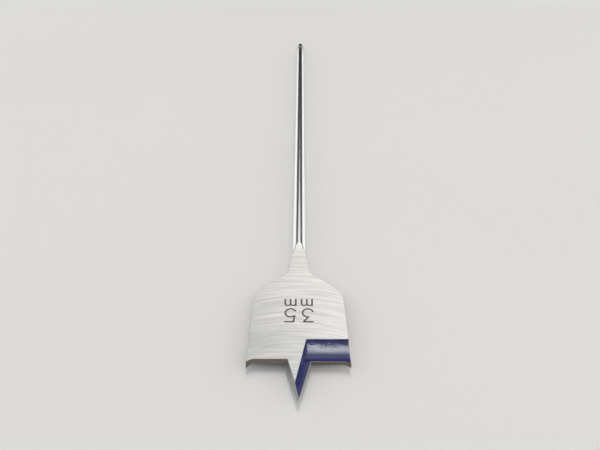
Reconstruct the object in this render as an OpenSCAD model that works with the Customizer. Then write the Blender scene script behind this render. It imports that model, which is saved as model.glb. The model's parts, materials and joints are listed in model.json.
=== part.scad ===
// Spade drill bit: a flat wood boring blade forged on a long round shank with a hexagonal end.
// The shank runs along Y and ends at the origin, the point faces -Y and the blade lies flat in XY.
// Seen from the shank end the bit cuts clockwise, so the +X lip is ground from the top face.

/* [Shank] */
// Length from the tip of the point to the end of the shank
overall_len = 400; // [200:5:450]
// Diameter of the round shank
shank_d = 7; // [6.8:0.1:9]
// Width across the flats of the hexagonal end
hex_af = 6.35; // [5.5:0.05:6.6]
// Length of the flats on the hexagonal end
hex_len = 32; // [22:1:50]
// Length over which each flat runs out into the round
flat_runout = 1.2; // [0.5:0.1:3]
// Chamfer on the end of the shank
end_chamfer = 0.8; // [0.3:0.1:1.5]
// Distance from the end of the shank to the middle of the locking groove
groove_from_end = 9.5; // [6:0.5:14]
// Depth of the locking groove below the flats
groove_depth = 0.7; // [0.3:0.05:1]
// Radius of the locking groove
groove_r = 2.4; // [1.8:0.1:3]

/* [Blade] */
// Cutting diameter over the spurs
cut_d = 35; // [22:1:42]
// Thickness of the blade
blade_t = 2.8; // [2.2:0.1:3.6]
// Straight length of the sides behind the lips
side_len = 30; // [20:0.5:45]
// Narrowing of each side from the lip to the shoulder
back_taper = 0.45; // [0.1:0.05:1.5]
// Slope of the shoulder from square to the shank
shoulder_angle = 45; // [25:1:55]
// Rounding of the shoulder corners
shoulder_r = 11; // [3:0.5:14]
// Fillet between the shoulder and the neck
neck_fillet_r = 6; // [2:0.5:6]
// Flat length of the neck between the shoulder and the ramp
neck_len = 6.4; // [6.4:0.1:12]
// Slope at which the round sides of the neck widen towards the blade
neck_flare = 3.6; // [1:0.1:5]
// Slope of the ramp from the blade face up to the round shank
ramp_angle = 13.5; // [8:0.5:25]
// Radius of the blend between the blade face and the ramp
ramp_r = 28; // [10:1:32]
// Length over which the ramp runs out on the round shank
runout_len = 3.3; // [1:0.1:6]
// Slope of the ramp where it runs out
runout_angle = 5.5; // [3:0.5:8]

/* [Lips] */
// Relief behind the cutting edges
relief_angle = 12; // [8:1:22]
// Height of the scoring spurs ahead of the lips
spur_h = 1.5; // [0.4:0.1:2.4]
// Width of the scoring spurs
spur_w = 3; // [1.4:0.1:4]

/* [Gullets] */
// Radius of the hollow ground behind each lip
gullet_r = 12; // [8:0.5:20]
// Length of the gullet from the lip to its back edge
gullet_len = 9.7; // [7:0.1:13]
// Depth of the gullet below the blade face
gullet_depth = 1.55; // [0.8:0.05:1.8]
// Width of the core left between the back edges of the gullets
core_w = 5.3; // [3:0.1:8]
// Lean of the gullet's inner edge from the shank axis
core_lean = 11; // [8:0.5:13]
// Steepness of the gullet's inner wall
core_wall_angle = 55; // [40:1:75]

/* [Point] */
// Length of the point ahead of the lips
point_len = 15.8; // [12:0.1:20]
// Width of the point at the lips
point_w = 7.7; // [6.5:0.1:9]
// Relief on the flanks of the point
flank_relief = 20; // [4:1:22]
// Distance ahead of the tip at which the flanks would meet
tip_lead = 0.2; // [0.1:0.05:0.5]
// Half angle of the sharpened tip
tip_half_angle = 20; // [16:1:30]
// Relief on the sharpened tip
tip_relief = 35; // [20:1:45]
// Depth at which the hollow along the point leaves its inner wall
rake_step = 0.2; // [0.1:0.05:0.3]
// Radius of the hollow along the point
rake_r = 14; // [10:0.5:20]
// Slope of that hollow at its inner wall
rake_entry = 18; // [12:1:20]

/* [Hidden] */
$fn = 128;

// Clearance that carries each cut past the surface it leaves
over = 2;
// Depth to which joined forms reach into each other
root = 4;
// Distance by which the neck of the blade stays inside the round bar
neck_inset = 0.02;
// Share of the shoulder that its two roundings may take up
rounding_share = 0.98;

shank_r = shank_d / 2;
face_z = blade_t / 2;
cut_r = cut_d / 2;

// Neck: its half width on the blade face, first at the foot of the ramp and then at the shoulder
runout_z = shank_r - runout_len * tan(runout_angle);
ramp_run = runout_len + (runout_z - face_z) / tan(ramp_angle);
flare = tan(neck_flare);
ramp_x = sqrt(pow(shank_r + ramp_run * flare, 2) - face_z * face_z) - neck_inset;
neck_x = ramp_x + neck_len * flare;

// Shoulder: where the side, the shoulder and the neck would meet without their roundings
corner_x = cut_r - back_taper;
shoulder_run = (corner_x - neck_x) / cos(shoulder_angle);
corner_share = tan((90 - shoulder_angle) / 2);
fillet_share = tan((90 - shoulder_angle - neck_flare) / 2);
rounding_fit = rounding_share * shoulder_run / (shoulder_r * corner_share + neck_fillet_r * fillet_share);
corner_r = shoulder_r * min(1, rounding_fit);
fillet_r = neck_fillet_r * min(1, rounding_fit);
corner_cut = corner_r * corner_share;
fillet_cut = fillet_r * fillet_share;
corner_t = point_len + side_len + corner_cut;
neck_t = corner_t + shoulder_run * sin(shoulder_angle);
ramp_t = neck_t + neck_len;
flare_t = ramp_t + ramp_run;

// Gullet: its lowest line, and the height of the lip that it leaves
gullet_reach = sqrt(2 * gullet_r * gullet_depth - gullet_depth * gullet_depth);
gullet_t = point_len + gullet_len - gullet_reach;
lip_rise = gullet_r - sqrt(gullet_r * gullet_r - pow(gullet_t - point_len, 2));
lip_z = face_z - gullet_depth + lip_rise;

spur_r = (spur_w * spur_w + spur_h * spur_h) / (2 * spur_h);

// The forms of the head repeat at half a turn about the shank axis
module both_sides() {
    children();
    rotate([0, 180, 0])
        children();
}

// Blade seen from above, with the tip of the point at the origin and +Y towards the shank
module blade_plan() {
    slope = [cos(shoulder_angle), -sin(shoulder_angle)];
    outward = [cos(neck_flare), sin(neck_flare)];
    corner = [corner_x, corner_t];
    neck = [neck_x, neck_t];
    corner_start = corner - [0, corner_cut];
    corner_end = corner - corner_cut * slope;
    fillet_start = neck + fillet_cut * slope;
    fillet_end = neck + fillet_cut * [-outward.y, outward.x];
    fillet_mid = fillet_end + fillet_r * outward;
    front = point_len - spur_h - over;
    half = [
        [cut_r, front],
        [cut_r, point_len],
        corner_start,
        corner_end,
        fillet_start,
        fillet_end,
        [ramp_x, ramp_t],
    ];
    mirrored = [for (i = [len(half) - 1:-1:0]) [-half[i].x, half[i].y]];
    difference() {
        union() {
            polygon(concat(half, mirrored));
            for (side = [-1, 1])
                translate([side * (corner_start.x - corner_r), corner_start.y])
                    circle(corner_r);
        }
        for (side = [-1, 1])
            translate([side * fillet_mid.x, fillet_mid.y])
                circle(fillet_r);
    }
}

// Stock ahead of the +X lip, cut away on the slant of the relief
module lip_relief() {
    spur_x = cut_r - spur_w;
    translate([0, point_len, lip_z])
        rotate([relief_angle, 0, 0])
            linear_extrude(2 * blade_t + 2 * over, center = true)
                union() {
                    translate([0, -point_len])
                        square([spur_x, point_len]);
                    translate([spur_x, -point_len])
                        square([spur_w + over, point_len - spur_r]);
                    translate([spur_x, -spur_r])
                        circle(spur_r);
                }
}

// Flat blade with its relieved lips and spurs
module plate() {
    difference() {
        linear_extrude(blade_t, center = true)
            blade_plan();
        both_sides()
            lip_relief();
    }
}

// Everything inside one flank of the point, whose edge is kept at the height of the lip
module flank(half_angle, relief, lead) {
    reach = point_len + root;
    edge_x = lip_z * tan(relief);
    translate([edge_x, 0, lip_z])
        rotate([0, relief, 0])
            linear_extrude(4 * blade_t, center = true)
                polygon([
                    [-cut_r, -over],
                    [(lead - over) * tan(half_angle), -over],
                    [(lead + reach) * tan(half_angle), reach],
                    [-cut_r, reach],
                ]);
}

// Point between its two flanks, sharpened at the tip
module point() {
    flank_angle = atan(point_w / 2 / (point_len + tip_lead));
    intersection() {
        translate([-cut_r, -over, -face_z])
            cube([cut_d, point_len + root + over, blade_t]);
        intersection_for (turn = [0, 180])
            rotate([0, turn, 0])
                intersection() {
                    flank(flank_angle, flank_relief, tip_lead);
                    flank(tip_half_angle, tip_relief, 0);
                }
    }
}

// Hollow ground along the +X lip, as deep as the gullet
module lip_hollow() {
    translate([-cut_r, gullet_t, face_z - gullet_depth + gullet_r])
        rotate([0, 90, 0])
            cylinder(r = gullet_r, h = cut_d + over);
}

// Shallower hollow along the point, which starts inside the lip's hollow
module point_hollow() {
    intersection() {
        inner_edge()
            translate([rake_r * sin(rake_entry), over, rake_r * cos(rake_entry) - rake_step])
                rotate([90, 0, 0])
                    cylinder(r = rake_r, h = 2 * (gullet_t + gullet_len));
        translate([-cut_r, -over, -cut_r])
            cube([cut_d, gullet_t + over, cut_d]);
    }
}

// Both hollows, ended by the leaning inner wall
module gullet() {
    reach = point_len + cut_d;
    intersection() {
        union() {
            lip_hollow();
            point_hollow();
        }
        inner_edge()
            rotate([0, core_wall_angle - 90, 0])
                translate([0, -reach, -cut_d])
                    cube([2 * cut_d, 2 * reach, 2 * cut_d]);
    }
}

// Frame on the gullet's inner edge: +Y runs back along the edge and +X into the gullet
module inner_edge() {
    translate([core_w / 2, point_len + gullet_len, face_z])
        rotate([0, 0, -core_lean])
            children();
}

// Blade and point with a gullet on each face
module head() {
    difference() {
        union() {
            plate();
            point();
        }
        both_sides()
            gullet();
    }
}

// Bar seen from the side, with the ramps that flatten it to the blade
module bar_profile() {
    blend = ramp_r * tan(ramp_angle / 2);
    top = shank_r + over;
    upper = [
        [neck_t - root - over, face_z],
        [ramp_t - blend, face_z],
        [ramp_t + blend * cos(ramp_angle), face_z + blend * sin(ramp_angle)],
        [flare_t - runout_len, runout_z],
        [flare_t + over / tan(runout_angle), top],
        [overall_len + over, top],
    ];
    lower = [for (i = [len(upper) - 1:-1:0]) [upper[i].x, -upper[i].y]];
    difference() {
        polygon(concat(upper, lower));
        for (side = [-1, 1])
            translate([ramp_t - blend, side * (face_z + ramp_r)])
                circle(ramp_r);
    }
}

// Round bar that widens into the neck, flattened by the ramps and chamfered at its end
module bar() {
    front = neck_t - root;
    intersection() {
        rotate([-90, 0, 0])
            rotate_extrude()
                polygon([
                    [0, front],
                    [shank_r + (flare_t - front) * flare, front],
                    [shank_r, flare_t],
                    [shank_r, overall_len - end_chamfer],
                    [shank_r - end_chamfer, overall_len],
                    [0, overall_len],
                ]);
        rotate([90, 0, 90])
            linear_extrude(2 * shank_d, center = true)
                bar_profile();
    }
}

// One flat of the hexagonal end, with its run-out
module hex_flat() {
    flat_z = hex_af / 2;
    top = shank_r + over;
    start = overall_len - hex_len;
    rise = flat_runout * (top - flat_z) / (shank_r - flat_z);
    rotate([90, 0, 90])
        linear_extrude(2 * shank_d, center = true)
            polygon([
                [start, flat_z],
                [overall_len + over, flat_z],
                [overall_len + over, top],
                [start - rise, top],
            ]);
}

// Groove round the hexagonal end, where a bit holder locks
module locking_groove() {
    translate([0, overall_len - groove_from_end, 0])
        rotate([90, 0, 0])
            rotate_extrude()
                translate([hex_af / 2 - groove_depth + groove_r, 0])
                    circle(groove_r);
}

// Shank with its hexagonal end
module shank() {
    difference() {
        bar();
        for (turn = [0:60:300])
            rotate([0, turn, 0])
                hex_flat();
        locking_groove();
    }
}

// The whole bit, one forging
module spade_bit() {
    color("silver")
        translate([0, -overall_len, 0])
            union() {
                shank();
                head();
            }
}

spade_bit();
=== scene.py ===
"""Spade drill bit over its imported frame: ground blade, painted gullets, polished shank and size mark."""
import json
import math
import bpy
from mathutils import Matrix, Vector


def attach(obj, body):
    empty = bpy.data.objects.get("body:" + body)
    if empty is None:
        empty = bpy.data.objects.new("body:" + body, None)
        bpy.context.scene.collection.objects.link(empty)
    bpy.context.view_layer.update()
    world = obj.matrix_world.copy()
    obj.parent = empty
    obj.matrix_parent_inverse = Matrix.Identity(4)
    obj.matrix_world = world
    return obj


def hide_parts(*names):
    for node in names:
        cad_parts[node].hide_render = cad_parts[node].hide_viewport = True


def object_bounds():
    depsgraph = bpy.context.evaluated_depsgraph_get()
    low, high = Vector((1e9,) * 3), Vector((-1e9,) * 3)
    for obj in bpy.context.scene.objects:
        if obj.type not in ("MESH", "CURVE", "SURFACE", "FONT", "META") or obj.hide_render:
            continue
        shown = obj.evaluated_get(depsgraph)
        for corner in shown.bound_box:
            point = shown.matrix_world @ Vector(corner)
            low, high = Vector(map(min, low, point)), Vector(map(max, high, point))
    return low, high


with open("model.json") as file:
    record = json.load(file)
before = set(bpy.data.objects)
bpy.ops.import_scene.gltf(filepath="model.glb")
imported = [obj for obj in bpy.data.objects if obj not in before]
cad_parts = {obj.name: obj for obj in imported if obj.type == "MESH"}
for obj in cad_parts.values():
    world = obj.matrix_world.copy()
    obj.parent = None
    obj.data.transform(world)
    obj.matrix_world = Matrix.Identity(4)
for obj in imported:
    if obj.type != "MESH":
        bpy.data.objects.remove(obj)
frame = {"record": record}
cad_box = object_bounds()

from types import SimpleNamespace

import bmesh
import bpy
from bmesh.types import BMEdge, BMVert
from bpy.props import FloatProperty, FloatVectorProperty, PointerProperty
from bpy.types import Operator, Panel, PropertyGroup
from mathutils import Matrix, Vector

bl_info = {
    "name": "Spade Drill Bit",
    "version": (1, 0, 0),
    "blender": (4, 5, 0),
    "location": "View3D > Sidebar > Spade Bit",
    "description": "Models a long spade bit for wood with its finishes and a plain stage",
    "category": "Add Mesh",
}

MM = 0.001
LOW, HIGH = cad_box
SLOT_COLOURS = {slot["slot"]: slot["base_color"] for slot in frame["record"]["materials"]}

# Places of the finishes in the bit's material list
POLISHED, GROUND, PAINT, BARE, HONED, TURNED = range(6)

# Turns that bring the forms of one lip to each of the two lips
TURNS = (Matrix.Identity(4), Matrix.Diagonal((-1, 1, -1, 1)))

# Stands up a form that is drawn as (length, height): its length along Y and its height along Z
ALONG_SHANK = Matrix(((0, 0, 1, 0), (1, 0, 0, 0), (0, 1, 0, 0), (0, 0, 0, 1)))

# How far a cutting shape reaches past the steel, and the point and the bar into the blade, in mm
OVER = 2
ROOT = 4

# How much narrower the blank is than the bar where they meet, so that no sides fall together, in mm
NECK_INSET = 0.02

# How much lower each further stroke of a figure lies, so that no two tops fall together, in mm
LAYER = 0.002

# Distances within which vertices are merged, in a drawn form and after cutting, in mm
DRAWN_MERGE = 1e-4
CUT_MERGE = 5e-4

# Turns from face to face below which they are made one, and above which the edge is sharp or broken
FLAT_TURN = math.radians(0.2)
SHARP_TURN = math.radians(8)
BREAK_TURN = math.radians(24)

# Height of the unit normal above which a face counts as level
LEVEL_Z = 0.9

# Steps of the round forms
BAR_STEPS = 128
GROOVE_STEPS = 96
HOLLOW_STEPS = 320
SHOULDER_STEPS = 32
FILLET_STEPS = 24
SPUR_STEPS = 24
BLEND_STEPS = 16
PEN_STEPS = 36

# Steps and power of the curve along which the bar swells into the neck
SWELL_STEPS = 12
SWELL_POWER = 1.7

HEX_SIDES = 6

# Places of the colours among a Mix node's sockets, whose names repeat
MIX_FIRST, MIX_SECOND, MIX_RESULT = 6, 7, 2

# Width of the camera's sensor, in mm
SENSOR_W = 36


# Properties

def length(name, text, mm):
    """A length that is given in millimetres and kept in metres."""
    return FloatProperty(name=name, description=text, default=mm * MM, min=0, precision=5, unit="LENGTH")


def angle(name, text, degrees):
    """An angle that is given in degrees."""
    return FloatProperty(name=name, description=text, default=math.radians(degrees), subtype="ANGLE")


def share(name, text, value):
    """A number from 0 to 1."""
    return FloatProperty(name=name, description=text, default=value, min=0, max=1, subtype="FACTOR")


def number(name, text, value):
    """A number without a unit."""
    return FloatProperty(name=name, description=text, default=value)


def colour(name, text, value):
    """A linear colour."""
    return FloatVectorProperty(name=name, description=text, default=value, min=0, max=1, subtype="COLOR")


class SpadeBitSizes(PropertyGroup):
    """Sizes of the bit"""
    overall_len: length("Length", "Tip of the point to the end of the shank", (HIGH.y - LOW.y) / MM)
    shank_d: length("Shank diameter", "Diameter of the round shank", (HIGH.z - LOW.z) / MM)
    hex_af: length("Hexagon", "Width across the flats of the hexagonal end", 6.35)
    hex_len: length("Hexagon length", "Length of the flats", 32)
    flat_runout: length("Flat run-out", "Length over which a flat runs out into the round", 1.2)
    end_chamfer: length("End chamfer", "Chamfer on the end of the shank", 0.8)
    groove_from_end: length("Groove place", "End of the shank to the middle of the locking groove", 9.5)
    groove_depth: length("Groove depth", "Depth of the locking groove below the flats", 0.7)
    groove_r: length("Groove radius", "Radius of the locking groove", 2.4)
    cut_d: length("Cutting diameter", "Width over the spurs", (HIGH.x - LOW.x) / MM)
    blade_t: length("Blade thickness", "Thickness of the blade", 2.8)
    side_len: length("Side length", "Straight length of the sides behind the lips", 30)
    back_taper: length("Back taper", "Narrowing of each side from the lip to the shoulder", 0.45)
    shoulder_angle: angle("Shoulder slope", "Slope of the shoulder from square to the shank", 45)
    shoulder_r: length("Shoulder rounding", "Rounding of the shoulder corners", 11)
    neck_fillet_r: length("Neck fillet", "Fillet between the shoulder and the neck", 6)
    neck_len: length("Neck length", "Flat length of the neck ahead of the ramp", 6.4)
    neck_flare: angle("Neck flare", "Slope at which the neck's round sides widen towards the blade", 3.6)
    ramp_angle: angle("Ramp slope", "Slope of the ramp up to the round shank", 13.5)
    ramp_r: length("Ramp blend", "Radius of the blend between the blade face and the ramp", 28)
    runout_len: length("Run-out length", "Length over which the ramp runs out on the shank", 3.3)
    runout_angle: angle("Run-out slope", "Slope of the ramp where it runs out", 5.5)
    relief_angle: angle("Lip relief", "Relief behind the cutting edges", 12)
    spur_h: length("Spur height", "Height of the scoring spurs ahead of the lips", 1.5)
    spur_w: length("Spur width", "Width of the scoring spurs", 3)
    gullet_r: length("Gullet radius", "Radius of the hollow behind each lip", 12)
    gullet_len: length("Gullet length", "Lip to the gullet's back edge", 9.7)
    gullet_depth: length("Gullet depth", "Depth of the gullet below the blade face", 1.55)
    core_w: length("Core width", "Width left between the gullets' back edges", 5.3)
    core_lean: angle("Core lean", "Lean of the gullet's inner edge from the shank axis", 11)
    core_wall_angle: angle("Core wall", "Steepness of the gullet's inner wall", 55)
    point_len: length("Point length", "Length of the point ahead of the lips", 15.8)
    point_w: length("Point width", "Width of the point at the lips", 7.7)
    flank_relief: angle("Flank relief", "Relief on the flanks of the point", 20)
    tip_lead: length("Tip lead", "Distance ahead of the tip at which the flanks would meet", 0.2)
    tip_half_angle: angle("Tip angle", "Half angle of the sharpened tip", 20)
    tip_relief: angle("Tip relief", "Relief on the sharpened tip", 35)
    rake_step: length("Rake step", "Depth at which the point's hollow leaves its wall", 0.2)
    rake_r: length("Rake radius", "Radius of the hollow along the point", 14)
    rake_entry: angle("Rake entry", "Slope of that hollow at its inner wall", 18)
    edge_break: length("Edge break", "Width of the break on the sharp edges", 0.07)


class SpadeBitFinish(PropertyGroup):
    """Colours and finishes of the bit's surfaces"""
    steel: colour("Steel", "Colour of the bare steel", SLOT_COLOURS["steel"])
    paint: colour("Paint", "Colour of the paint in the gullets", SLOT_COLOURS["gullet_paint"])
    paint_deep: colour("Paint, deep", "Colour of the paint where it lies thick", (0.005, 0.006, 0.065))
    # Painted reflection and shade: the relief faces are given dark, brownish steel in place of the dark
    # brown surroundings that such faces reflect
    edge: colour("Edge steel", "Colour of the darker steel on the relief faces", (0.225, 0.188, 0.155))
    ground_dark: colour("Ground steel, dark", "Colour of the darker lines", (0.455, 0.455, 0.452))
    ground_light: colour("Ground steel, light", "Colour of the lighter lines", (0.84, 0.812, 0.776))
    mark: colour("Mark", "Colour of the size mark", (0.085, 0.08, 0.078))
    grind_arc: number("Grinding arc", "How much the grinding lines bow, per metre", 11)
    grind_centre: length("Grinding centre", "Distance of the bow's middle to the left of the axis", 1.5)
    ground_rough: share("Ground roughness", "Roughness of the ground faces", 0.46)
    polished_rough: share("Polished roughness", "Roughness of the shank", 0.14)
    paint_rough: share("Paint roughness", "Roughness of the paint", 0.16)
    bare_strip: length("Bare strip", "Width of the edge that grinding leaves without paint", 0.22)
    ramp_round: length("Ramp rounding", "Depth of the polished rounding beside the ramps", 0.4)
    ramp_turn: number("Ramp turn", "Slope that this rounding adds at the ramp's edge", 0.9)


class SpadeBitMark(PropertyGroup):
    """Size mark on the blade"""
    figure_h: length("Figure height", "Height of the figures", 7.7)
    figure_w: length("Figure width", "Width of a figure", 4.5)
    figure_stretch: number("Figure stretch", "Height of a figure's bowl in its width", 1.14)
    figure_pitch: length("Figure pitch", "Start of one figure to the start of the next", 6.35)
    figures_x: length("Figure start", "Shank axis to the start of the figures", 5.6)
    figures_t: length("Figure place", "Tip of the point to the foot of the figures", 41.55)
    unit_h: length("Unit height", "Height of the small letters", 4.1)
    unit_w: length("Unit width", "Width of a small letter", 4.6)
    unit_pitch: length("Unit pitch", "Start of one small letter to the start of the next", 6.12)
    units_x: length("Unit start", "Shank axis to the start of the small letters", 5.3)
    units_t: length("Unit place", "Tip of the point to the foot of the small letters", 46.85)
    stroke_w: length("Stroke width", "Width of the strokes", 0.66)
    stroke_h: length("Stroke height", "Height at which the strokes stand on the steel", 0.012)


class SpadeBitStage(PropertyGroup):
    """Floor, light and camera"""
    floor: colour("Floor", "Colour of the floor", (0.81, 0.8, 0.78))
    floor_reach: length("Floor reach", "Middle of the floor to each of its sides", 6000)
    key_level: number("Key light", "Level of the soft glow ahead and above", 15.5)
    sky_level: number("Surroundings", "Level of the soft surroundings", 1.08)
    backdrop: share("Backdrop", "Brightness of the plain backdrop behind the floor", 0.68)
    lens: FloatProperty(name="Lens", description="Focal length in mm", default=33.6, unit="CAMERA")
    camera_height: length("Camera height", "Height above the shank axis", 139.94)
    camera_back: length("Camera distance", "Distance ahead of the tip along the floor", 116.6)
    camera_side: length("Camera offset", "Offset to the right of the shank axis", 0.775)
    camera_tilt: angle("Camera tilt", "Tilt below level", 32.77)
    camera_turn: angle("Camera turn", "Turn to the left of the shank axis", 0.12)


def millimetres(settings):
    """The numbers of a property group by name, with its lengths in millimetres."""
    kept = {}
    for name, prop in settings.bl_rna.properties.items():
        if prop.type == "FLOAT":
            kept[name] = getattr(settings, name) / (MM if prop.unit == "LENGTH" else 1)
    return kept


class Plan:
    """The sizes in millimetres, with the places that follow from them, measured from the tip."""

    def __init__(self, sizes):
        vars(self).update(millimetres(sizes))
        self.shank_r = self.shank_d / 2
        self.face_z = self.blade_t / 2
        self.cut_r = self.cut_d / 2
        self.flare = math.tan(self.neck_flare)
        self.runout_z = self.shank_r - self.runout_len * math.tan(self.runout_angle)
        ramp_run = self.runout_len + (self.runout_z - self.face_z) / math.tan(self.ramp_angle)
        bar_r = self.shank_r + ramp_run * self.flare
        self.ramp_x = math.sqrt(bar_r ** 2 - self.face_z ** 2) - NECK_INSET
        self.neck_x = self.ramp_x + self.neck_len * self.flare
        self.corner_x = self.cut_r - self.back_taper
        self.corner_turn = math.pi / 2 - self.shoulder_angle
        self.fillet_turn = self.corner_turn - self.neck_flare
        self.corner_cut = self.shoulder_r * math.tan(self.corner_turn / 2)
        self.fillet_cut = self.neck_fillet_r * math.tan(self.fillet_turn / 2)
        self.corner_t = self.point_len + self.side_len + self.corner_cut
        self.neck_t = self.corner_t + (self.corner_x - self.neck_x) * math.tan(self.shoulder_angle)
        self.ramp_t = self.neck_t + self.neck_len
        self.flare_t = self.ramp_t + ramp_run
        self.flank_angle = math.atan(self.point_w / 2 / (self.point_len + self.tip_lead))
        reach = math.sqrt(2 * self.gullet_r * self.gullet_depth - self.gullet_depth ** 2)
        self.gullet_t = self.point_len + self.gullet_len - reach
        rise = self.gullet_r - math.sqrt(self.gullet_r ** 2 - (self.gullet_t - self.point_len) ** 2)
        self.lip_z = self.face_z - self.gullet_depth + rise
        self.spur_r = (self.spur_w ** 2 + self.spur_h ** 2) / (2 * self.spur_h)
        corner = Vector((self.core_w / 2, self.point_len + self.gullet_len, self.face_z))
        self.inner_edge = Matrix.Translation(corner) @ Matrix.Rotation(-self.core_lean, 4, "Z")


# Forms

def only(geom, kind):
    """The vertices, or the edges, of what an operator made."""
    return [part for part in geom if isinstance(part, kind)]


def move(bm, matrix):
    """Move or turn a whole form."""
    bmesh.ops.transform(bm, verts=bm.verts, matrix=matrix)
    return bm


def draw_to(bm, vert, x, y):
    """Draw a line from a vertex and return its end."""
    end = bmesh.ops.extrude_vert_indiv(bm, verts=[vert])["verts"][0]
    end.co = (x, y, 0)
    return end


def draw_arc(bm, vert, x, y, turn, steps):
    """Draw an arc from a vertex round a centre and return its end."""
    made = bmesh.ops.spin(bm, geom=[vert], cent=(x, y, 0), axis=(0, 0, 1), angle=turn, steps=steps)
    return only(made["geom_last"], BMVert)[0]


def raise_faces(bm, faces, height):
    """Give faces that lie flat a thickness upwards."""
    grown = bmesh.ops.extrude_face_region(bm, geom=faces)["geom"]
    bmesh.ops.translate(bm, verts=only(grown, BMVert), vec=(0, 0, height))


def thicken(bm, low, high):
    """Close a flat outline in XY and give it thickness from low to high."""
    faces = bmesh.ops.contextual_create(bm, geom=bm.edges[:])["faces"]
    bmesh.ops.translate(bm, verts=bm.verts, vec=(0, 0, low))
    raise_faces(bm, faces, high - low)


def wedge(corners, low, high):
    """A prism over a few corners in XY."""
    bm = bmesh.new()
    first = bm.verts.new((*corners[0], 0))
    last = first
    for corner in corners[1:]:
        last = draw_to(bm, last, *corner)
    bm.edges.new((last, first))
    thicken(bm, low, high)
    return bm


def slice_off(bm, point, outward):
    """Cut a convex block along a plane and close it again."""
    geom = bm.verts[:] + bm.edges[:] + bm.faces[:]
    cut = bmesh.ops.bisect_plane(bm, geom=geom, plane_co=point, plane_no=outward, clear_outer=True)
    bmesh.ops.contextual_create(bm, geom=only(cut["geom_cut"], BMEdge))


def revolve(bm, steps):
    """Turn what is drawn in XY right round the shank axis."""
    bmesh.ops.spin(
        bm, geom=bm.verts[:] + bm.edges[:], cent=(0, 0, 0), axis=(0, 1, 0),
        angle=math.tau, steps=steps, use_merge=True)


def combine(body, tool, operation):
    """Add one working solid to another, or take it away."""
    step = body.modifiers.new(operation, "BOOLEAN")
    step.operation = operation
    step.solver = "EXACT"
    step.material_mode = "INDEX"
    step.object = tool


class Workshop:
    """Holds the working solids while they are joined and cut."""

    def __init__(self, finishes):
        self.finishes = finishes
        self.solids = []

    def solid(self, bm, finish, level_finish=None):
        """Make a working solid whose faces carry a finish, and its level faces another if it is given."""
        bmesh.ops.remove_doubles(bm, verts=bm.verts, dist=DRAWN_MERGE)
        bmesh.ops.recalc_face_normals(bm, faces=bm.faces)
        for face in bm.faces:
            level = level_finish is not None and abs(face.normal.z) > LEVEL_Z
            face.material_index = level_finish if level else finish
        mesh = bpy.data.meshes.new("working_solid")
        bm.to_mesh(mesh)
        bm.free()
        for material in self.finishes:
            mesh.materials.append(material)
        made = bpy.data.objects.new("working_solid", mesh)
        bpy.context.scene.collection.objects.link(made)
        self.solids.append(made)
        return made

    def cut(self, body, bm, finish):
        """Take a form away from a solid and give the new faces a finish."""
        combine(body, self.solid(bm, finish), "DIFFERENCE")

    def result(self, body):
        """The finished solid as a bmesh; the working solids are cleared away."""
        bpy.context.view_layer.update()
        view = bpy.context.evaluated_depsgraph_get()
        mesh = bpy.data.meshes.new_from_object(body.evaluated_get(view))
        bm = bmesh.new()
        bm.from_mesh(mesh)
        bpy.data.meshes.remove(mesh)
        for made in self.solids:
            bpy.data.meshes.remove(made.data)
        self.solids.clear()
        return bm


def blade_blank(p):
    """Flat blade with its rounded shoulders, before the lips are ground."""
    bm = bmesh.new()
    front = p.point_len - p.spur_h - OVER
    end = bm.verts.new((0, front, 0))
    end = draw_to(bm, end, p.cut_r, front)
    end = draw_to(bm, end, p.cut_r, p.point_len)
    side_t = p.corner_t - p.corner_cut
    end = draw_to(bm, end, p.corner_x, side_t)
    end = draw_arc(bm, end, p.corner_x - p.shoulder_r, side_t, p.corner_turn, SHOULDER_STEPS)
    slope = Vector((math.cos(p.shoulder_angle), -math.sin(p.shoulder_angle)))
    start = Vector((p.neck_x, p.neck_t)) + p.fillet_cut * slope
    middle = start + p.neck_fillet_r * Vector((-slope.y, slope.x))
    end = draw_to(bm, end, *start)
    end = draw_arc(bm, end, *middle, -p.fillet_turn, FILLET_STEPS)
    end = draw_to(bm, end, p.ramp_x, p.ramp_t)
    draw_to(bm, end, 0, p.ramp_t)
    bmesh.ops.mirror(bm, geom=bm.verts[:] + bm.edges[:], axis="X", merge_dist=DRAWN_MERGE)
    bmesh.ops.remove_doubles(bm, verts=bm.verts, dist=DRAWN_MERGE)
    thicken(bm, -p.face_z, p.face_z)
    return bm


def lip_relief(p, turn):
    """Stock ahead of one lip, with the hollow that leaves the spur standing."""
    bm = bmesh.new()
    past_axis = -1
    spur_x = p.cut_r - p.spur_w
    first = bm.verts.new((past_axis, 0, 0))
    end = draw_to(bm, first, spur_x, 0)
    end = draw_arc(bm, end, spur_x, -p.spur_r, -math.pi / 2, SPUR_STEPS)
    end = draw_to(bm, end, p.cut_r + OVER, -p.spur_r)
    end = draw_to(bm, end, p.cut_r + OVER, -p.point_len)
    end = draw_to(bm, end, past_axis, -p.point_len)
    bm.edges.new((end, first))
    thicken(bm, -p.blade_t - OVER, p.blade_t + OVER)
    place = Matrix.Translation((0, p.point_len, p.lip_z)) @ Matrix.Rotation(p.relief_angle, 4, "X")
    return move(bm, turn @ place)


def flank_normal(half_angle, relief):
    """The direction that a ground flank of the point faces, on the +X side."""
    return Vector((
        math.cos(half_angle) * math.cos(relief),
        -math.sin(half_angle),
        -math.cos(half_angle) * math.sin(relief)))


def point_wedge(p):
    """Point between its relieved flanks, sharpened at the tip."""
    bm = bmesh.new()
    bmesh.ops.create_cube(bm, size=1)
    bmesh.ops.scale(bm, verts=bm.verts, vec=(p.cut_d, p.point_len + ROOT + OVER, p.blade_t))
    bmesh.ops.translate(bm, verts=bm.verts, vec=(0, (p.point_len + ROOT - OVER) / 2, 0))
    grinds = ((p.flank_angle, p.flank_relief, p.tip_lead), (p.tip_half_angle, p.tip_relief, 0))
    for half_angle, relief, lead in grinds:
        for turn in TURNS:
            slice_off(bm, (0, -lead, 0), turn.to_3x3() @ flank_normal(half_angle, relief))
    return bm


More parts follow.
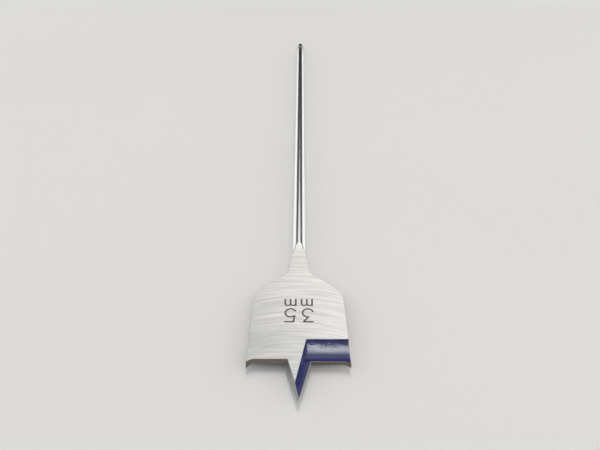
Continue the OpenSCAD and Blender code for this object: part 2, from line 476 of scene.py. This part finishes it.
def drum(radius, reach):
    """A fine cylinder along Y, from -reach to +reach."""
    bm = bmesh.new()
    bmesh.ops.create_cone(
        bm, cap_ends=True, segments=HOLLOW_STEPS, radius1=radius, radius2=radius, depth=2 * reach)
    return move(bm, Matrix.Rotation(math.pi / 2, 4, "X"))


def inner_wall(p, bm):
    """End a hollow at the leaning inner wall."""
    into = Vector((math.sin(p.core_wall_angle), 0, math.cos(p.core_wall_angle)))
    slice_off(bm, p.inner_edge.translation, -(p.inner_edge.to_3x3() @ into))


def lip_hollow(p, turn):
    """Hollow ground along one lip."""
    bm = drum(p.gullet_r, p.cut_d)
    place = Matrix.Translation((p.cut_r, p.gullet_t, p.face_z - p.gullet_depth + p.gullet_r))
    move(bm, place @ Matrix.Rotation(math.pi / 2, 4, "Z"))
    inner_wall(p, bm)
    return move(bm, turn)


def point_hollow(p, turn):
    """Shallower hollow along the point, which starts inside the lip's hollow."""
    bm = drum(p.rake_r, p.gullet_t + p.gullet_len)
    centre = Vector((
        p.rake_r * math.sin(p.rake_entry), 0, p.rake_r * math.cos(p.rake_entry) - p.rake_step))
    move(bm, p.inner_edge @ Matrix.Translation(centre))
    inner_wall(p, bm)
    slice_off(bm, (0, p.gullet_t, 0), (0, 1, 0))
    return move(bm, turn)


def round_bar(p):
    """Round bar that swells into the neck, with the chamfer on its end."""
    bm = bmesh.new()
    front = p.neck_t - ROOT
    end = bm.verts.new((0, front, 0))
    end = draw_to(bm, end, p.ramp_x + (p.ramp_t - front) * p.flare, front)
    swell = math.hypot(p.ramp_x, p.face_z) - p.shank_r
    for step in range(SWELL_STEPS):
        left = 1 - step / SWELL_STEPS
        t = p.flare_t - (p.flare_t - p.ramp_t) * left
        end = draw_to(bm, end, p.shank_r + swell * left ** SWELL_POWER, t)
    end = draw_to(bm, end, p.shank_r, p.flare_t)
    end = draw_to(bm, end, p.shank_r, p.overall_len - p.end_chamfer)
    end = draw_to(bm, end, p.shank_r - p.end_chamfer, p.overall_len)
    draw_to(bm, end, 0, p.overall_len)
    revolve(bm, BAR_STEPS)
    return bm


def ramp_cut(p, turn):
    """What is forged off the bar ahead of its round part, down to the blade face."""
    top = p.shank_r + OVER
    blend_t = p.ramp_t - p.ramp_r * math.tan(p.ramp_angle / 2)
    bm = bmesh.new()
    first = bm.verts.new((p.point_len, p.face_z, 0))
    end = draw_to(bm, first, blend_t, p.face_z)
    end = draw_arc(bm, end, blend_t, p.face_z + p.ramp_r, p.ramp_angle, BLEND_STEPS)
    end = draw_to(bm, end, p.flare_t - p.runout_len, p.runout_z)
    end = draw_to(bm, end, p.flare_t + OVER / math.tan(p.runout_angle), top)
    end = draw_to(bm, end, p.point_len, top)
    bm.edges.new((end, first))
    thicken(bm, -p.shank_d, p.shank_d)
    return move(bm, turn @ ALONG_SHANK)


def hex_flat(p, index):
    """What is ground off for one flat of the hexagonal end."""
    flat_z = p.hex_af / 2
    top = p.shank_r + OVER
    start = p.overall_len - p.hex_len
    rise = p.flat_runout * (top - flat_z) / (p.shank_r - flat_z)
    back = p.overall_len + OVER
    corners = ((start, flat_z), (back, flat_z), (back, top), (start - rise, top))
    bm = wedge(corners, -p.shank_d, p.shank_d)
    return move(bm, Matrix.Rotation(index * math.tau / HEX_SIDES, 4, "Y") @ ALONG_SHANK)


def locking_groove(p):
    """Ring that a bit holder locks into."""
    bm = bmesh.new()
    bmesh.ops.create_circle(bm, segments=GROOVE_STEPS, radius=p.groove_r)
    middle = p.hex_af / 2 - p.groove_depth + p.groove_r
    bmesh.ops.translate(bm, verts=bm.verts, vec=(middle, p.overall_len - p.groove_from_end, 0))
    revolve(bm, GROOVE_STEPS)
    return bm


def forge_bit(p, finishes):
    """Join and cut the forms of the bit."""
    shop = Workshop(finishes)
    bit = shop.solid(round_bar(p), POLISHED)
    for turn in TURNS:
        shop.cut(bit, ramp_cut(p, turn), GROUND)
    for index in range(HEX_SIDES):
        shop.cut(bit, hex_flat(p, index), POLISHED)
    shop.cut(bit, locking_groove(p), TURNED)
    blade = shop.solid(blade_blank(p), BARE, GROUND)
    for turn in TURNS:
        shop.cut(blade, lip_relief(p, turn), BARE)
    combine(bit, blade, "UNION")
    combine(bit, shop.solid(point_wedge(p), HONED, GROUND), "UNION")
    for turn in TURNS:
        shop.cut(bit, lip_hollow(p, turn), PAINT)
        shop.cut(bit, point_hollow(p, turn), PAINT)
    return shop.result(bit)


def is_sharp(edge):
    """Whether an edge gets a break: not the edges between two painted hollows."""
    if not edge.is_manifold or edge.calc_face_angle() < BREAK_TURN:
        return False
    return any(face.material_index != PAINT for face in edge.link_faces)


def break_edges(bm, p):
    """Clean the faces that cutting left and break the sharp edges, within the cutting diameter."""
    bmesh.ops.remove_doubles(bm, verts=bm.verts, dist=CUT_MERGE)
    bmesh.ops.dissolve_degenerate(bm, edges=bm.edges, dist=CUT_MERGE)
    bmesh.ops.dissolve_limit(
        bm, angle_limit=FLAT_TURN, verts=bm.verts, edges=bm.edges, delimit={"MATERIAL"})
    broken = bmesh.ops.bevel(
        bm, geom=[e for e in bm.edges if is_sharp(e)], offset=p.edge_break, offset_type="OFFSET",
        affect="EDGES", segments=2, profile=0.5, material=-1, clamp_overlap=False, loop_slide=True)
    for face in broken["faces"]:
        if face.material_index in (GROUND, PAINT):
            face.material_index = HONED
    for vert in bm.verts:
        vert.co.x = max(-p.cut_r, min(p.cut_r, vert.co.x))


def finish_piece(context, name, bm, finishes):
    """Bring a piece from millimetres to its place in the frame and let it ride on the bit."""
    bmesh.ops.translate(bm, verts=bm.verts, vec=(0, LOW.y / MM, 0))
    bmesh.ops.scale(bm, verts=bm.verts, vec=(MM, MM, MM))
    mesh = bpy.data.meshes.new(name)
    bm.to_mesh(mesh)
    bm.free()
    for material in finishes:
        mesh.materials.append(material)
    mesh.shade_smooth()
    mesh.set_sharp_from_angle(angle=SHARP_TURN)
    piece = bpy.data.objects.new(name, mesh)
    context.scene.collection.objects.link(piece)
    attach(piece, "root")
    return piece


# Finishes

class Value:
    """A shader socket that takes part in Python sums; each sum adds a Math node."""

    def __init__(self, finish, socket):
        self.finish = finish
        self.socket = socket

    def __add__(self, other):
        return self.finish.maths("ADD", self, other)

    def __radd__(self, other):
        return self.finish.maths("ADD", other, self)

    def __sub__(self, other):
        return self.finish.maths("SUBTRACT", self, other)

    def __rsub__(self, other):
        return self.finish.maths("SUBTRACT", other, self)

    def __mul__(self, other):
        return self.finish.maths("MULTIPLY", self, other)

    def __rmul__(self, other):
        return self.finish.maths("MULTIPLY", other, self)


class Finish:
    """A node tree under construction, of a material or of the world."""

    def __init__(self, owner):
        owner.use_nodes = True
        self.owner = owner
        self.tree = owner.node_tree
        self.tree.nodes.clear()

    def node(self, kind, settings=None, sockets=None, out=0):
        """Add a node with its settings and socket values or links, and return one of its outputs."""
        node = self.tree.nodes.new(kind)
        for name, value in (settings or {}).items():
            setattr(node, name, value)
        for name, value in (sockets or {}).items():
            if isinstance(value, Value):
                self.tree.links.new(value.socket, node.inputs[name])
            else:
                node.inputs[name].default_value = value
        return Value(self, node.outputs[out]) if node.outputs else node

    def maths(self, operation, *numbers):
        """One Math node over a number or two."""
        return self.node("ShaderNodeMath", {"operation": operation}, dict(enumerate(numbers)))

    def place(self, kind="Object"):
        """The three coordinates of the place that is shaded, in metres."""
        where = self.node("ShaderNodeTexCoord", out=kind)
        return [self.node("ShaderNodeSeparateXYZ", None, {"Vector": where}, axis) for axis in "XYZ"]

    def scaled(self, place, scales):
        """A vector of three coordinates, each with its own scale."""
        parts = {axis: part * scale for axis, part, scale in zip("XYZ", place, scales)}
        return self.node("ShaderNodeCombineXYZ", None, parts)

    def noise(self, place, scales, detail=2):
        """Soft noise, with its fineness per metre along each coordinate."""
        sockets = {"Vector": self.scaled(place, scales), "Scale": 1, "Detail": detail}
        return self.node("ShaderNodeTexNoise", None, sockets, "Fac")

    def cells(self, place, scales):
        """Distance from the middle of the nearest of many scattered cells."""
        sockets = {"Vector": self.scaled(place, scales), "Scale": 1}
        return self.node("ShaderNodeTexVoronoi", None, sockets, "Distance")

    def mix(self, factor, first, second):
        """A blend of two colours."""
        pair = [c if isinstance(c, Value) else (*c, 1) for c in (first, second)]
        sockets = {"Factor": factor, MIX_FIRST: pair[0], MIX_SECOND: pair[1]}
        return self.node("ShaderNodeMix", {"data_type": "RGBA"}, sockets, MIX_RESULT)

    def step(self, value, low, high):
        """A soft step from 0 at low to 1 at high."""
        settings = {"interpolation_type": "SMOOTHSTEP"}
        sockets = {"Value": value, "From Min": low, "From Max": high}
        return self.node("ShaderNodeMapRange", settings, sockets)

    def larger(self, first, second):
        """The larger of two numbers."""
        return self.maths("MAXIMUM", first, second)

    def smaller(self, first, second):
        """The smaller of two numbers."""
        return self.maths("MINIMUM", first, second)

    def bump(self, height, strength, distance):
        """A surface normal from a height."""
        return self.node(
            "ShaderNodeBump", None, {"Height": height, "Strength": strength, "Distance": distance})

    def surface(self, sockets):
        """The Principled shader that ends a material."""
        shader = self.node("ShaderNodeBsdfPrincipled", None, sockets)
        self.node("ShaderNodeOutputMaterial", None, {"Surface": shader})
        return self.owner


def tint(base, factor):
    """A colour made lighter or darker."""
    return [min(1, part * factor) for part in base]


def polished_steel(look, p):
    """Drawn and polished bar: near mirror, with faint rings and wear, rounded over beside its ramps."""
    f = Finish(bpy.data.materials.new("polished_steel"))
    place = f.place()
    _, y, z = place
    # Height of the ramp's own surface here, and how far the bar comes within the rounding beside it
    from_knee = y - LOW.y - (p.flare_t - p.runout_len) * MM
    ramp = f.smaller(from_knee * math.tan(p.ramp_angle), from_knee * math.tan(p.runout_angle))
    ramp = f.larger(ramp + p.runout_z * MM, p.face_z * MM)
    brink = f.larger(f.maths("ABSOLUTE", z) - ramp + look.ramp_round, 0)
    past_tip = f.step(from_knee, (p.runout_len - 1) * MM, (p.runout_len + 2) * MM)
    rounded = brink * brink * (1 - past_tip)
    bend = look.ramp_turn / (2 * look.ramp_round)
    rings = f.noise(place, (25, 2600, 25))
    wear = f.noise(place, (260, 70, 260), 4)
    return f.surface({
        "Base Color": f.mix(wear, tint(look.steel, 1.1), tint(look.steel, 1.26)),
        "Metallic": 1,
        "Roughness": look.polished_rough - 0.05 + 0.06 * rings + 0.05 * wear,
        "Normal": f.bump(5e-7 * rings - bend * rounded, 1, 1),
    })


def ground_steel(look, p):
    """Blade faces: satin steel with the fine bowed lines of cross grinding, duller on the ramp."""
    f = Finish(bpy.data.materials.new("ground_steel"))
    x, y, z = f.place()
    # Dull from the blend up to the knee, and half as much on the run-out
    height = f.maths("ABSOLUTE", z)
    ramp = f.step(y - LOW.y, (p.ramp_t - 4.5) * MM, (p.ramp_t - 2) * MM)
    ramp = ramp * (1 - 0.5 * f.step(height, (p.runout_z - 0.05) * MM, (p.runout_z + 0.05) * MM))
    off_centre = x + look.grind_centre
    bowed = (x, y + look.grind_arc * off_centre * off_centre, z)
    fine = f.noise(bowed, (70, 6000, 300))
    lines = f.step(f.noise(bowed, (60, 1500, 120), 3), 0.3, 0.7)
    bands = f.step(f.noise(bowed, (40, 520, 60)), 0.3, 0.7)
    # Painted light: the blade's colour is made lighter to the right and towards the shank, where more
    # light falls
    painted_light_drift = 8 * x + 12 * (y - LOW.y - 40 * MM)
    return f.surface({
        "Base Color": f.mix(
            0.3 * fine + 0.45 * lines + 0.25 * bands + painted_light_drift, look.ground_dark, look.ground_light),
        "Metallic": 1,
        "Roughness": look.ground_rough - 0.1 + 0.1 * fine + 0.1 * lines + 0.25 * ramp,
        "Normal": f.bump(0.5 * fine + 0.5 * lines, 0.3, 2e-5),
    })


def inside_outline(f, p, x, y, z):
    """Distance from the ground edges of lip and point, and the place across and along either gullet."""
    side = f.maths("SIGN", z)
    across = x * side
    height = z * side
    along = y - LOW.y
    to_lip = math.cos(p.relief_angle) * (along - p.point_len * MM)
    to_lip = to_lip + math.sin(p.relief_angle) * (height - p.lip_z * MM)
    spur = f.larger(across - (p.cut_r - p.spur_w) * MM, 0)
    to_lip = to_lip + spur * spur * (p.spur_h / p.spur_w ** 2 / MM)
    outward = flank_normal(p.flank_angle, p.flank_relief)
    to_flank = across * -outward.x + (along + p.tip_lead * MM) * -outward.y + height * -outward.z
    return f.larger(to_lip, to_flank), across, along


def gullet_paint(look, p):
    """Dipped gloss paint with runs and bubbles by its back edge, ground off along the cutting edges."""
    f = Finish(bpy.data.materials.new("gullet_paint"))
    place = f.place()
    inside, across, along = inside_outline(f, p, *place)
    lip = p.point_len * MM
    back = (p.point_len + p.gullet_len) * MM
    by_back = f.step(along, back - 5 * MM, back - 1 * MM)
    # Painted light: the paint is made lighter just behind the lip, to lift the dark reflection that lies
    # there
    painted_light_by_lip = (1 - f.step(along, lip + 1 * MM, lip + 4 * MM)) * f.step(along, lip - 1 * MM, lip)
    flow = f.noise(place, (180, 180, 180), 3)
    runs = f.noise(place, (1300, 400, 400), 3) * f.step(across, 6 * MM, 10 * MM)
    bubbles = 1 - f.step(f.cells(place, (900, 650, 900)), 0.1, 0.45)
    bubbles = bubbles * (1 - f.step(across, 4.5 * MM, 6.5 * MM))
    bare = 1 - f.step(inside + 0.15 * MM * flow, 0.8 * look.bare_strip, 1.3 * look.bare_strip)
    # The paint's colour varies at random between thin and thick, with painted light just behind the lip
    paint = f.mix(0.9 * flow + 0.3 * painted_light_by_lip, look.paint_deep, look.paint)
    return f.surface({
        "Base Color": f.mix(bare, paint, tint(look.steel, 0.45)),
        "Metallic": bare,
        "Roughness": look.paint_rough - 0.04 + 0.08 * flow + 0.3 * bare,
        "IOR": 1.5,
        "Normal": f.bump(0.2 * flow + (0.8 * runs + 0.5 * bubbles) * by_back, 0.9, 2e-4),
    })


def bare_steel(name, base):
    """Relief faces, flanks, broken edges and groove: steel with the lines of the grinding wheel."""
    f = Finish(bpy.data.materials.new(name))
    place = f.place()
    lines = f.noise(place, (900, 900, 4200))
    patches = f.noise(place, (220, 220, 400), 3)
    return f.surface({
        "Base Color": f.mix(0.5 * lines + 0.5 * patches, tint(base, 0.75), tint(base, 1.2)),
        "Metallic": 1,
        "Roughness": 0.34 + 0.16 * lines + 0.08 * patches,
        "Normal": f.bump(lines, 0.3, 2e-5),
    })


def etched_mark(look):
    """Matt dark grey of the etched size."""
    f = Finish(bpy.data.materials.new("etched_mark"))
    grain = f.noise(f.place(), (5000, 5000, 5000), 3)
    return f.surface({
        "Base Color": f.mix(grain, tint(look.mark, 0.7), tint(look.mark, 1.5)),
        "Metallic": 0.4,
        "Roughness": 0.45 + 0.2 * grain,
        "Normal": f.bump(grain, 0.3, 1e-5),
    })


def pale_floor(stage):
    """Even pale floor, a little cloudy."""
    f = Finish(bpy.data.materials.new("pale_floor"))
    cloud = f.noise(f.place(), (3, 3, 1))
    return f.surface({
        "Base Color": f.mix(cloud, tint(stage.floor, 0.98), tint(stage.floor, 1.02)),
        "Roughness": 0.7,
        "Specular IOR Level": 0.2,
    })


# Bit

class SPADEBIT_OT_body(Operator):
    """Model the forged bit in one piece and give its surfaces their finishes"""
    bl_idname = "spadebit.body"
    bl_label = "Bit"

    def execute(self, context):
        look = context.scene.spade_bit_finish
        p = Plan(context.scene.spade_bit_sizes)
        finishes = [
            polished_steel(look, p), ground_steel(look, p), gullet_paint(look, p),
            # Painted reflection and shade: the relief faces, and the flanks and broken edges at about half
            # the steel's colour, are made darker in place of the dark reflections on them
            bare_steel("bare_edges_painted_shade", look.edge), bare_steel("honed_flanks_painted_shade", tint(look.steel, 0.52)),
            # Painted shade: the locking groove gets dark grey steel, so that it reads as a shaded recess
            bare_steel("turned_groove_painted_shade", tint(look.steel, 0.42)),
        ]
        bm = forge_bit(p, finishes)
        if not bm.faces:
            raise RuntimeError("the forms of the bit could not be joined")
        break_edges(bm, p)
        piece = finish_piece(context, "bit_body", bm, finishes)
        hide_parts("spade_bit")
        return {"FINISHED"}


# Size mark

class Stroke:
    """A flat ribbon drawn like a pen line, from straights and bends."""

    def __init__(self, bm, layer, x, y, heading, width):
        self.bm = bm
        self.at = Vector((x, y, -layer * LAYER))
        self.heading = math.radians(heading)
        side = self.left() * width / 2
        self.edge = bm.edges.new((bm.verts.new(self.at - side), bm.verts.new(self.at + side)))

    def ahead(self):
        """The direction that the pen moves in."""
        return Vector((math.cos(self.heading), math.sin(self.heading), 0))

    def left(self):
        """The direction to the left of the pen."""
        return Vector((-math.sin(self.heading), math.cos(self.heading), 0))

    def straight(self, reach):
        """Go straight ahead."""
        grown = bmesh.ops.extrude_edge_only(self.bm, edges=[self.edge])["geom"]
        bmesh.ops.translate(self.bm, verts=only(grown, BMVert), vec=self.ahead() * reach)
        self.edge = only(grown, BMEdge)[0]
        self.at += self.ahead() * reach
        return self

    def bend(self, radius, degrees):
        """Go round a bend, to the left where the degrees are positive."""
        turn = math.radians(degrees)
        centre = self.at + self.left() * math.copysign(radius, turn)
        made = bmesh.ops.spin(
            self.bm, geom=[self.edge, *self.edge.verts], cent=centre, axis=(0, 0, 1),
            angle=turn, steps=PEN_STEPS)
        self.edge = only(made["geom_last"], BMEdge)[0]
        self.at = centre + Matrix.Rotation(turn, 3, "Z") @ (self.at - centre)
        self.heading += turn
        return self


def on_bowl(w, pen, degrees):
    """A place on the middle line of a figure's round bowl."""
    bowl = (w - pen) / 2
    at = math.radians(degrees)
    return w / 2 + bowl * math.cos(at), w / 2 + bowl * math.sin(at)


def draw_bowl(bm, w, pen, start, sweep):
    """Draw a figure's round bowl clockwise from its start, both in degrees."""
    Stroke(bm, 2, *on_bowl(w, pen, start), start - 90, pen).bend((w - pen) / 2, -sweep)


def figure_three(bm, w, h, pen):
    """Flat-topped 3, whose bowl hooks back at its end."""
    top = h - pen / 2
    drop = top - (w - pen) - 0.4 * pen
    Stroke(bm, 0, 0.06 * w, top, 0, pen).straight(0.84 * w)
    slope = math.atan2(drop, 0.42 * w)
    Stroke(bm, 1, 0.86 * w, top, 180 + math.degrees(slope), pen).straight(drop / math.sin(slope))
    draw_bowl(bm, w, pen, 105, 275)


def figure_five(bm, w, h, pen):
    """Flat-topped 5, whose bowl hooks back at its end."""
    top = h - pen / 2
    start = 143
    x, y = on_bowl(w, pen, start)
    lean = math.atan2(top - y, 0.1 * w)
    Stroke(bm, 1, x, y, math.degrees(lean), pen).straight((h - y) / math.sin(lean))
    Stroke(bm, 0, x + 0.06 * w, top, 0, pen).straight(0.94 * w - x)
    draw_bowl(bm, w, pen, start, 304)


def letter_m(bm, w, h, pen):
    """Small m with two round arches."""
    arch = (w - pen) / 4
    leg = h - pen / 2 - arch
    Stroke(bm, 0, pen / 2, 0, 90, pen).straight(h)
    for index in range(2):
        start = pen / 2 + 2 * arch * index
        Stroke(bm, index + 1, start, leg, 90, pen).bend(arch, -180).straight(leg)


class SPADEBIT_OT_mark(Operator):
    """Draw the size mark on the upper face of the blade"""
    bl_idname = "spadebit.mark"
    bl_label = "Size mark"

    def execute(self, context):
        p = Plan(context.scene.spade_bit_sizes)
        m = SimpleNamespace(**millimetres(context.scene.spade_bit_mark))
        figures = (figure_three, figure_five)
        units = (letter_m, letter_m)
        rows = (
            (figures, m.figures_x, m.figures_t, m.figure_pitch, m.figure_w, m.figure_h, m.figure_stretch),
            (units, m.units_x, m.units_t, m.unit_pitch, m.unit_w, m.unit_h, 1),
        )
        bm = bmesh.new()
        for signs, x, t, pitch, width, height, stretch in rows:
            for index, draw in enumerate(signs):
                before = set(bm.verts)
                draw(bm, width, height / stretch, m.stroke_w)
                drawn = [v for v in bm.verts if v not in before]
                place = Matrix.Translation((x - pitch * index, t, p.face_z))
                place = place @ Matrix.Diagonal((-1, -stretch, 1, 1))
                bmesh.ops.transform(bm, verts=drawn, matrix=place)
        bmesh.ops.recalc_face_normals(bm, faces=bm.faces)
        for face in bm.faces:
            if face.normal.z < 0:
                face.normal_flip()
        raise_faces(bm, bm.faces[:], m.stroke_h)
        bmesh.ops.recalc_face_normals(bm, faces=bm.faces)
        finish_piece(context, "size_mark", bm, [etched_mark(context.scene.spade_bit_finish)])
        return {"FINISHED"}


# Stage

class SPADEBIT_OT_stage(Operator):
    """Set up the floor, the soft light and the camera"""
    bl_idname = "spadebit.stage"
    bl_label = "Stage"

    def execute(self, context):
        stage = context.scene.spade_bit_stage
        self.floor(context, stage)
        self.light(context, stage)
        self.camera(context, stage)
        context.scene.view_settings.view_transform = "Standard"
        return {"FINISHED"}

    def floor(self, context, stage):
        """Lay a wide floor under the shank."""
        bm = bmesh.new()
        bmesh.ops.create_grid(bm, x_segments=1, y_segments=1, size=stage.floor_reach)
        bmesh.ops.translate(bm, verts=bm.verts, vec=(0, 0, LOW.z))
        mesh = bpy.data.meshes.new("floor")
        bm.to_mesh(mesh)
        bm.free()
        mesh.materials.append(pale_floor(stage))
        floor = bpy.data.objects.new("floor", mesh)
        context.scene.collection.objects.link(floor)

    def light(self, context, stage):
        """Light the bit by soft surroundings with bright and dark fields, before a plain backdrop."""
        world = bpy.data.worlds.new("soft_surroundings")
        context.scene.world = world
        f = Finish(world)
        # Parts of the direction that a ray leaves in: to the right, along the shank and up
        x, y, z = f.place("Generated")
        aside = f.maths("ABSOLUTE", x)
        # Ahead, bright fields at both sides, in the middle high up and along the floor, on a dark ground
        sides = f.step(aside - 1.08 * z, -0.03, 0.05) * (1 - 0.6 * f.step(z, 0.5, 0.65))
        middle = f.step(1.6 * (z - 0.45) - aside, -0.02, 0.04) * (1 - 0.5 * f.step(z, 0.62, 0.8))
        middle = middle * (1 - f.step(aside, 0.2, 0.34))
        low = 1 - f.step(z, 0.04, 0.12)
        bright = f.larger(f.larger(sides, middle), low)
        shade = f.larger(0.6 * z - 0.15, 0.03)
        ahead = shade + (1 - shade) * bright
        # Behind the camera, even light high up with a dark field overhead, and dusk below it
        behind = 1 - f.step(y, -0.25, 0.1)
        overhead = (1 - f.step(aside, 0.2, 0.35)) * f.step(y, -0.4, -0.25)
        level = ahead + ((0.85 - ahead) * f.step(z, 0.5, 0.6) - 0.8 * overhead) * behind
        dusk = f.step(z, 0.14, 0.2) * (1 - f.step(z, 0.4, 0.5)) * (1 - f.step(y, -0.6, -0.4))
        level = level * (1 - 0.8 * dusk)
        # Key light: a narrow glow high up, a little ahead and to the right
        across = f.step(x, -0.01, 0.035) * (1 - 0.6 * f.step(x, 0.04, 0.12)) * (1 - f.step(x, 0.1, 0.18))
        glow = across * f.step(y, 0.04, 0.14) * (1 - f.step(y, 0.34, 0.74)) * f.step(z, 0, 0.1)
        level = level + stage.key_level * glow
        # What the camera itself sees past the floor is the backdrop
        seen = f.node("ShaderNodeLightPath", out="Is Camera Ray")
        level = level + (stage.backdrop - level) * seen
        light = f.node("ShaderNodeBackground", None, {"Color": level, "Strength": stage.sky_level})
        f.node("ShaderNodeOutputWorld", None, {"Surface": light})

    def camera(self, context, stage):
        """Place the camera ahead of the point, looking along the bit."""
        data = bpy.data.cameras.new("camera")
        data.sensor_width = SENSOR_W
        data.lens = stage.lens
        data.clip_start = 0.01
        data.clip_end = 50
        camera = bpy.data.objects.new("camera", data)
        camera.location = (stage.camera_side, LOW.y - stage.camera_back, stage.camera_height)
        camera.rotation_euler = (math.pi / 2 - stage.camera_tilt, 0, stage.camera_turn)
        context.scene.collection.objects.link(camera)
        context.scene.camera = camera


# Panel and registration

class SPADEBIT_PT_panel(Panel):
    """Sizes and finishes of the bit, with its pieces"""
    bl_idname = "SPADEBIT_PT_panel"
    bl_label = "Spade Bit"
    bl_space_type = "VIEW_3D"
    bl_region_type = "UI"
    bl_category = "Spade Bit"

    def draw(self, context):
        for group in GROUPS:
            box = self.layout.box()
            settings = getattr(context.scene, group)
            for name, prop in settings.bl_rna.properties.items():
                if prop.type == "FLOAT":
                    box.prop(settings, name)
        for piece in PIECES:
            self.layout.operator(piece.bl_idname)


GROUPS = {
    "spade_bit_sizes": SpadeBitSizes,
    "spade_bit_finish": SpadeBitFinish,
    "spade_bit_mark": SpadeBitMark,
    "spade_bit_stage": SpadeBitStage,
}
PIECES = (SPADEBIT_OT_body, SPADEBIT_OT_mark, SPADEBIT_OT_stage)


def register():
    """Make the settings, the operators and the panel known to Blender."""
    for name, group in GROUPS.items():
        bpy.utils.register_class(group)
        setattr(bpy.types.Scene, name, PointerProperty(type=group))
    for entry in (*PIECES, SPADEBIT_PT_panel):
        bpy.utils.register_class(entry)


def unregister():
    """Take them all away again."""
    for entry in (SPADEBIT_PT_panel, *reversed(PIECES)):
        bpy.utils.unregister_class(entry)
    for name, group in reversed(GROUPS.items()):
        delattr(bpy.types.Scene, name)
        bpy.utils.unregister_class(group)


def main():
    """Build the pieces and the stage."""
    register()
    bpy.ops.spadebit.body()
    bpy.ops.spadebit.mark()
    bpy.ops.spadebit.stage()


if __name__ == "__main__":
    main()
